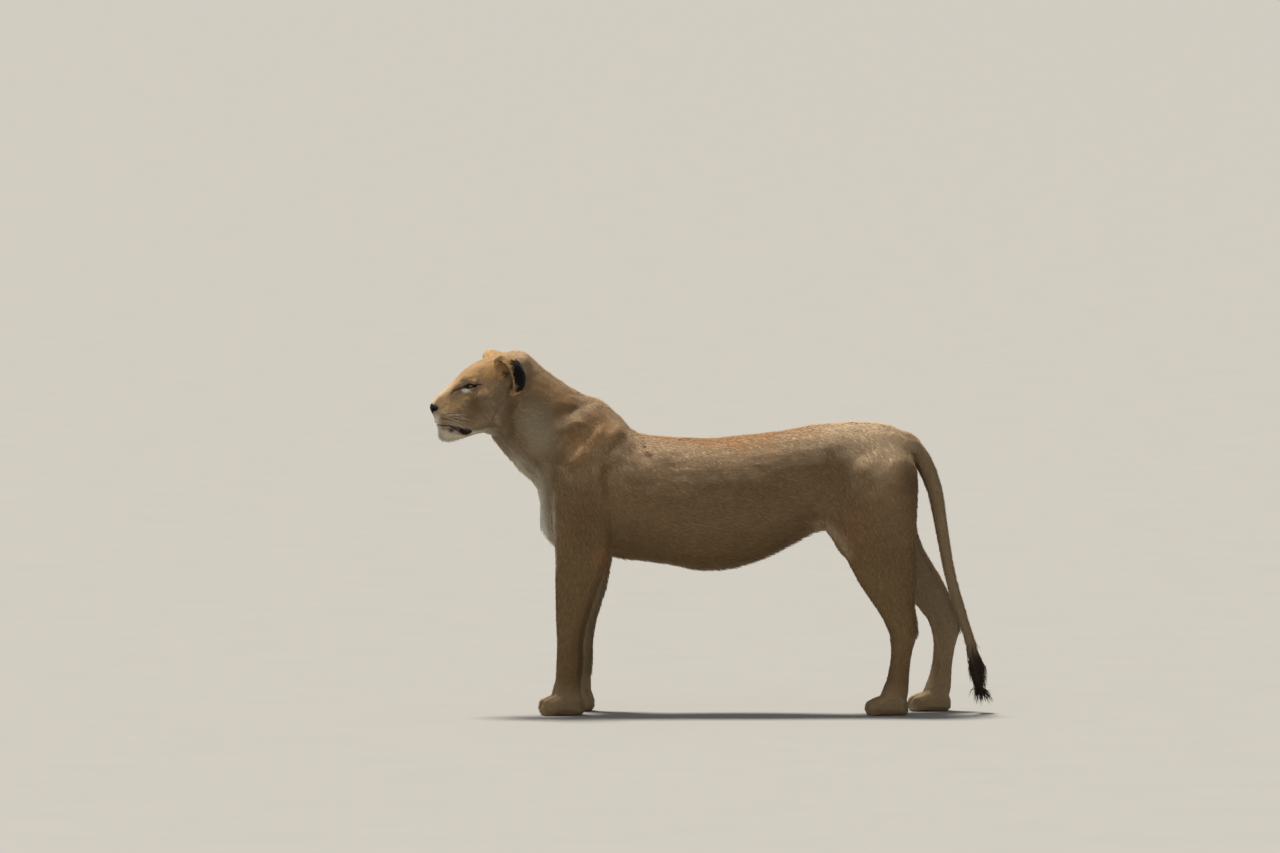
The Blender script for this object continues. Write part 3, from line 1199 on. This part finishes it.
# %% Unwrap the skin
bpy.ops.object.select_all(action="DESELECT")
skin.select_set(True)
bpy.context.view_layer.objects.active = skin
bpy.ops.object.mode_set(mode="EDIT")
bpy.ops.mesh.select_all(action="SELECT")
bpy.ops.uv.smart_project(angle_limit=math.radians(66), island_margin=0.002)
bpy.ops.object.mode_set(mode="OBJECT")
skin.data.uv_layers[0].name = "OFBake"
unwrap = read(skin.data.uv_layers["OFBake"].uv, "vector", 2).reshape(-1, 3, 2).astype(float)
skin_corners = read(skin.data.loops, "vertex_index", 1, np.int32).reshape(-1, 3)
print("unwrapped", len(unwrap), "triangles, up to", unwrap.max().round(3))

# %% [markdown]
# ## Tufts
# A hair is too fine to model and there are millions, so a tuft stands for a lock of a few dozen:
# a slim closed spike, three-sided, that leaves the skin at a low angle and lies along the coat.
# Short tufts are straight, and the longer ones of throat, belly, ears and tail bend once. All are
# written as arrays and joined into a few meshes. Their shading leans on the skin's own
# direction, so that a thousand small facets read as one soft surface.

# %% The look of the tufts
tuft_look, tree, shader = new_material(
    "coat_tufts", Roughness=0.62, Specular_IOR_Level=0.2, Sheen_Weight=0.08, Sheen_Roughness=0.35)
tone = add_node(tree, "ShaderNodeAttribute", attribute_name="coat_colour")
coloured(tree, shader, tone.outputs["Color"], scaled_noise(tree, 260.0, 2.0), 0.35, "MULTIPLY")
print("material", tuft_look.name)


# %% Scatter roots over the skin
def scattered(density, seed):
    """Random places on the skin, with `density` tufts per square metre at each point."""
    chance = np.random.default_rng(seed)
    a, b, c = (points[skin_corners[:, k]] for k in range(3))
    area = np.linalg.norm(np.cross(b - a, c - a), axis=1) / 2
    wanted = area * density[skin_corners].mean(axis=1)
    count = np.floor(wanted + chance.random(len(wanted))).astype(int)
    chosen = np.repeat(np.arange(len(count)), count)
    mix = chance.random((len(chosen), 2))
    over = mix.sum(axis=1) > 1
    mix[over] = 1 - mix[over]
    return chosen, np.column_stack([1 - mix.sum(axis=1), mix])


def at_roots(roots, values):
    """A value held at the skin's points, read at the roots."""
    chosen, weights = roots
    weights = weights.reshape((-1, 3) + (1,) * (values.ndim - 1))
    return (values[skin_corners[chosen]] * weights).sum(axis=1)


def coat_at(roots):
    """Place, direction, colour and spot on the map, at the roots."""
    p, n = at_roots(roots, points), unit(at_roots(roots, normals))
    colour = coat_colour(p, n, *(at_roots(roots, v) for v in (soft_ear, soft_tail, soft_tip)))
    return p, n, colour, (unwrap[roots[0]] * roots[1][:, :, None]).sum(axis=1)


# %% The two shapes of tuft: corners of the foot, then of the bend, then the tip
ROOT_DEPTH = 0.001  # the foot lies this far under the skin
MAP_PATCH = 0.0015  # half of a tuft's patch on the map
STRAIGHT_FACES = [(2, 0, 3), (1, 2, 3), (0, 1, 3), (1, 0, 2)]
STRAIGHT_MAP = [(-1, -1), (1, -1), (0, -0.3), (0, 1)]
BENT_FACES = [(2, 0, 5), (5, 0, 3), (1, 2, 4), (4, 2, 5), (0, 1, 3), (3, 1, 4), (5, 3, 6),
              (4, 5, 6), (3, 4, 6), (1, 0, 2)]
BENT_MAP = [(-1, -1), (1, -1), (0, -0.8), (-1, 0), (1, 0), (0, 0.2), (0, 1)]


def tuft_mesh(name, verts, faces):
    """A mesh written as arrays: the same faces for every tuft."""
    count, per, _ = verts.shape
    corners = (np.arange(count)[:, None, None] * per + np.array(faces)).reshape(-1, 3)
    mesh = bpy.data.meshes.new(name)
    mesh.vertices.add(count * per)
    mesh.vertices.foreach_set("co", verts.astype(np.float32).ravel())
    mesh.loops.add(corners.size)
    mesh.loops.foreach_set("vertex_index", corners.astype(np.int32).ravel())
    mesh.polygons.add(len(corners))
    mesh.polygons.foreach_set("loop_start", np.arange(0, corners.size, 3, dtype=np.int32))
    mesh.update(calc_edges=True)
    print(name, count, "tufts,", len(corners), "triangles")
    return mesh, corners


# %% Build tufts as one mesh
def tuft_piece(name, tufts, seed):
    """Straight spikes of 4 triangles, or bent ones of 10 where the tips droop."""
    p, n, lie, length, width, lift, colour, place, *droop = tufts
    chance = np.random.default_rng(seed)
    count = len(p)
    lie = laid_flat(lie + chance.normal(0, 0.16, (count, 3)), n)
    across = np.cross(n, lie)
    l = (length * chance.uniform(0.75, 1.25, count))[:, None]
    w = (width * chance.uniform(0.8, 1.2, count))[:, None]
    lift = np.radians(lift * chance.uniform(0.7, 1.35, count))[:, None]
    out = lie * np.cos(lift) + n * np.sin(lift)
    root = p - n * ROOT_DEPTH - lie * w * 0.5
    rings = [root - across * w / 2, root + across * w / 2, root + n * w * 0.45]
    faces, spots, tip, steps = STRAIGHT_FACES, STRAIGHT_MAP, p + out * l, [0.8, 0.8, 0.8, 1.14]
    if droop:
        middle = p + out * l * 0.5 + n * l * 0.03
        late = lie * np.cos(lift) + n * np.sin(lift) * 0.3 + droop[0]
        slim = w * 0.78
        rings += [middle - across * slim / 2, middle + across * slim / 2, middle + n * slim * 0.4]
        faces, spots, tip = BENT_FACES, BENT_MAP, middle + unit(late) * l * 0.5
        steps = [0.8] * 3 + [1.0] * 3 + [1.14]
    verts = np.stack(rings + [tip], axis=1)
    verts[:, :, 2] = np.maximum(verts[:, :, 2], 0.0005)  # no tip goes through the floor
    mesh, corners = tuft_mesh(name, verts, faces)
    tone = colour * chance.uniform(0.9, 1.1, count)[:, None]
    shades = np.clip(tone[:, None, :] * np.array(steps)[:, None], 0.003, 0.95)
    store(mesh, "coat_colour", "FLOAT_COLOR", shades.reshape(-1, 3))
    patch = (place[:, None, :] + np.array(spots) * MAP_PATCH).reshape(-1, 2)
    uv = mesh.uv_layers.new(name="OFBake")
    uv.uv.foreach_set("vector", patch[corners.ravel()].astype(np.float32).ravel())
    sides = [n - across * 0.35, n + across * 0.35, n] * (len(rings) // 3)
    leaning = unit(np.stack(sides + [n + out * 0.25], axis=1).reshape(-1, 3))
    mesh.shade_smooth()
    mesh.normals_split_custom_set_from_vertices(leaning.astype(np.float32))
    dressed(name, mesh, tuft_look)


# %% Share the tufts out over a few meshes
def joined_tufts(name, tufts, seed, most):
    """Tufts as meshes of at most so many, from the head to the tail."""
    groups = np.array_split(np.argsort(tufts[0][:, 0]), math.ceil(len(tufts[0]) / most))
    for number, chosen in enumerate(groups):
        own_name = name if len(groups) == 1 else f"{name}_{number + 1}"
        tuft_piece(own_name, [values[chosen] for values in tufts], seed + number)


# %% The short coat over the whole body
MOST_SHORT, MOST_LONG = 45000, 18000  # tufts in one mesh
roots = scattered(measures[:, 0] * (1 - bare), 11)
p, n, colour, place = coat_at(roots)
sizes = at_roots(roots, measures)[:, 1:].T
joined_tufts("coat", [p, n, at_roots(roots, comb), *sizes, colour, place], 20, MOST_SHORT)


# %% Longer hair is built in sets, each with its own mask
def long_tufts(mask, per_area, length, width, lift, droop, seed, tint=None, way=comb):
    """Bent tufts where the mask over the skin's points is above 0."""
    mask = np.clip(mask, 0, 1)
    roots = scattered(mask * per_area * (bare < 0.9), seed)
    p, n, colour, place = coat_at(roots)
    if tint is not None:
        colour = colour * 0.35 + np.array(tint) * 0.65
    size = length * (0.55 + 0.45 * np.clip(at_roots(roots, mask), 0.3, 1))
    same = np.ones(len(p))
    lie = at_roots(roots, way)
    return p, n, lie, size, same * width, same * lift, colour, place, same[:, None] * droop


def joined_sets(name, sets, seed):
    joined_tufts(name, [np.concatenate(rows) for rows in zip(*sets)], seed, MOST_LONG)


# %% Where longer hair grows
folded = folded_head(points)
(x, y, z), (nx, _, nz) = points.T, normals.T
DOWN = (0.05, 0.0, -0.45)
chin = dab(folded, (78, 0, -160), (55, 50, 30)) * (nz < 0.2)
throat = ease((-nz * 0.7 - nx * 0.7 - 0.35) / 0.4) * (x < -0.43) * (z > 0.45)
jowl = stroke(folded, [(-70, 80, -30), (-85, 80, -80), (-75, 65, -125)], 30)
spine = ease((0.034 - np.abs(y)) / 0.02) * (nz > 0.3) * (x > -0.62)
belly = ease((-nz - 0.55) / 0.3) * (z > 0.35) * (x > -0.3)
fore_back = ease((nx - 0.45) / 0.3) * (z > 0.1)
hind_back = ease((nx - 0.35) / 0.35) * (z > 0.12)
TRUNK = ("neck", "chest", "loin", "rump")
# Each row: where, the parts it grows on, and what long_tufts asks for.
LONG_SETS = [
    (chin, ("",), 90000, 0.014, 0.0015, 30, DOWN, 41, (0.62, 0.57, 0.47)),
    (throat, ("neck", "chest"), 60000, 0.022, 0.0021, 22, DOWN, 42),
    (jowl, ("head", "jaw", "nose"), 90000, 0.018, 0.0016, 16, DOWN, 43),
    (spine, (*TRUNK, "head"), 52000, 0.017, 0.0023, 18, (0.3, 0.0, -0.1), 44),
    (belly, TRUNK, 22000, 0.022, 0.003, 22, (0.3, 0.0, -0.3), 45),
    (fore_back, ("foreleg",), 42000, 0.015, 0.0024, 22, DOWN, 46),
    (hind_back, ("thigh", "shank", "rump"), 34000, 0.018, 0.0028, 22, DOWN, 47),
    (1.0, ("neck",), 20000, 0.017, 0.0018, 13, DOWN, 48),
]
sets = [long_tufts(mask * is_part(*words), *rest) for mask, words, *rest in LONG_SETS]
joined_sets("coat_long", sets, 51)

# %% Hair of the ears: an ochre mound before the cup, dark and pale hair in it, short on the rim
STILL = (0, 0, 0)
ear_sets = []
for side, sign in (("left", 1), ("right", -1)):
    centre, facing = ear_frame(side)
    out, up, ahead = (np.array(way) for way in (outwards(side), upward, forward))
    away = points - centre
    near = on_ears * (np.linalg.norm(away, axis=1) < EAR_REACH)
    inside = ease((normals @ facing - 0.15) / 0.3) * near
    inner_edge = ease((0.012 - away @ out) / 0.03)
    fan = np.tile(out * 0.75 + up * 0.7 - ahead * 0.3, (len(points), 1))
    swept = np.tile(out * 0.45 + up * 0.15 - ahead * 0.85, (len(points), 1))
    this_side = in_head(points)[:, 1] * sign > 0
    spot = dab(folded, (-86, 85, 42), (18, 50, 14)) * this_side
    pale = dab(folded, (-60, 88, 14), (20, 50, 16)) * this_side * ~on_ears * on_face
    mound = dab(folded, (-62, 80, 56), (46, 60, 44)) * this_side * (on_face | on_ears)
    mound = np.clip(mound * 2.0, 0, 1) * (1 - np.clip(spot * 1.5, 0, 1)) * (1 - pale)
    mound *= normals @ facing > -0.2
    lower = ease((-(away @ up) - 0.012) / 0.02) * inside
    rim_band = ease(1 - np.abs(normals @ facing - 0.25) / 0.35) * near
    rim_band *= ease((away @ facing + 0.01) / 0.01)
    ear_sets += [long_tufts(*row) for row in (
        (mound, 190000, 0.024, 0.0017, 34, (0.1, 0, 0.15), 60, (0.94, 0.57, 0.24), fan),
        (spot * 2, 170000, 0.013, 0.0016, 26, STILL, 66, DARK, swept),
        (pale * 1.3, 90000, 0.015, 0.0015, 26, (0.1, 0, 0), 67, (0.58, 0.48, 0.34), swept),
        (inside * inner_edge, 150000, 0.019, 0.0016, 28, (0, 0, 0.1), 61, (0.72, 0.42, 0.165), fan),
        (inside * (1 - inner_edge), 70000, 0.014, 0.0015, 26, STILL, 62, None, fan),
        (lower, 120000, 0.012, 0.0014, 22, STILL, 63, (0.5, 0.37, 0.22), swept),
        (rim_band, 90000, 0.008, 0.0012, 20, STILL, 64),
    )]
joined_sets("coat_ears", ear_sets, 65)

# %% The dark tuft at the end of the tail
tip_set = long_tufts(soft_tip * is_part("tail_tuft", "tail_end"), 90000, 0.052, 0.0032, 20,
                     (0.1, 0.0, -0.9), 71)
joined_sets("tail_tuft_hair", [tip_set], 72)

# %% [markdown]
# ## Whiskers
# Whiskers stand in rows on the pads beside the nose, thick at the root and fine at the tip, and
# sweep back and down. They are thin three-sided cones with a few rings, so that they can bend.

# %% Whiskers in four rows on each side
whisker_look, tree, shader = new_material("whisker", Roughness=0.35)
coloured(tree, shader, (0.55, 0.5, 0.42), (0.82, 0.8, 0.74), scaled_noise(tree, 60.0, 2.0))
ROOTS_UP = (-0.084, -0.092, -0.101, -0.109)
ROOTS_AHEAD = (0.09, 0.078, 0.067, 0.057)
WHISKER_RINGS = 6
cone_faces = [*tube_faces(WHISKER_RINGS, 3), (15, 16, 18), (16, 17, 18), (17, 15, 18), (2, 1, 0)]


def whiskers(side, seed):
    chance = np.random.default_rng(seed)
    sign = 1 if side == "left" else -1
    verts, faces = [], []
    for row, up in enumerate(ROOTS_UP):
        for ahead in ROOTS_AHEAD:
            start = Vector(from_head(np.array([ahead, sign * 0.12, up])))
            hit = skin_finder.ray_cast(start, Vector(-sign * head_axes[1]), 0.12)
            if not hit[0]:
                continue
            root = in_head(np.array(hit[0])) - np.array([0, sign, 0]) * 0.001
            length = chance.uniform(0.05, 0.085)
            back, rise = chance.uniform(-0.45, -0.05), chance.uniform(-0.08, 0.08)
            way = unit(np.array([back, sign * 0.75, 0.1 - 0.12 * row + rise]))
            bend = np.array([-0.35, 0.0, -0.25]) * chance.uniform(0.6, 1.2)
            faces += [tuple(len(verts) + v for v in face) for face in cone_faces]
            for t in np.arange(WHISKER_RINGS) / WHISKER_RINGS:
                middle = root + (way * t + bend * t * t * 0.6) * length
                radius = 0.00021 * (1 - t) + 0.00006
                for turn in (0, 2.0944, 4.1888):
                    verts.append(middle + np.array([math.cos(turn), 0.0, math.sin(turn)]) * radius)
            verts.append(root + (way + bend * 0.6) * length)
    return from_head(np.array(verts)), faces


for side, seed in (("left", 81), ("right", 82)):
    new_piece(f"whiskers_{side}", *whiskers(side, seed), whisker_look, "pale_coat")
